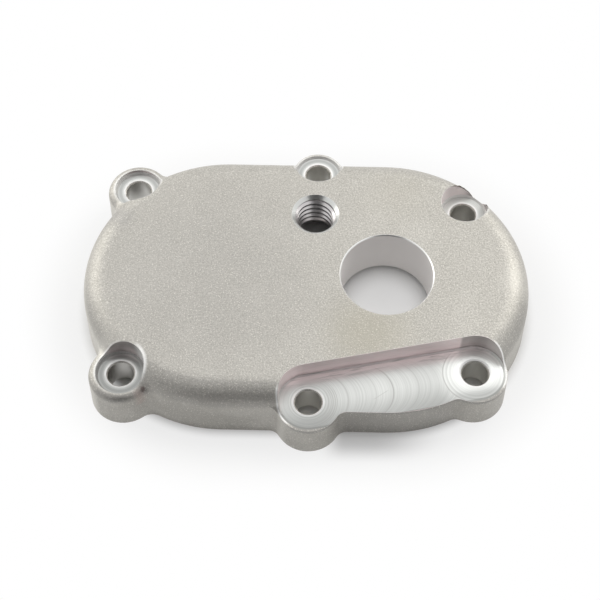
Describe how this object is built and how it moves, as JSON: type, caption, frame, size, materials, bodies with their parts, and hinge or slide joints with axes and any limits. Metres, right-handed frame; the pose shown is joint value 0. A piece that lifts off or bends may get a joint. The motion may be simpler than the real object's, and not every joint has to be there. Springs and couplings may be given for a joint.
{
  "type": "die cast gearbox cover",
  "caption": "Die cast aluminium cover with a bored shaft opening, a threaded hole, bolt bosses with spot-faced seats and a milled clearance.",
  "frame": {"origin": "where the shaft bore's axis meets the mounting face", "axes": "+Z along the shaft bore, out of the cover; +X along the cover's long centre line, towards the end with the bore"},
  "size_m": [0.1155, 0.0845, 0.0163],
  "materials": {
    "cast_aluminium": "blasted cast skin, with bright machined bores, seats and milled clearance"
  },
  "bodies": {
    "root": {"gearbox_cover": "cast_aluminium"}
  },
  "joints": []
}
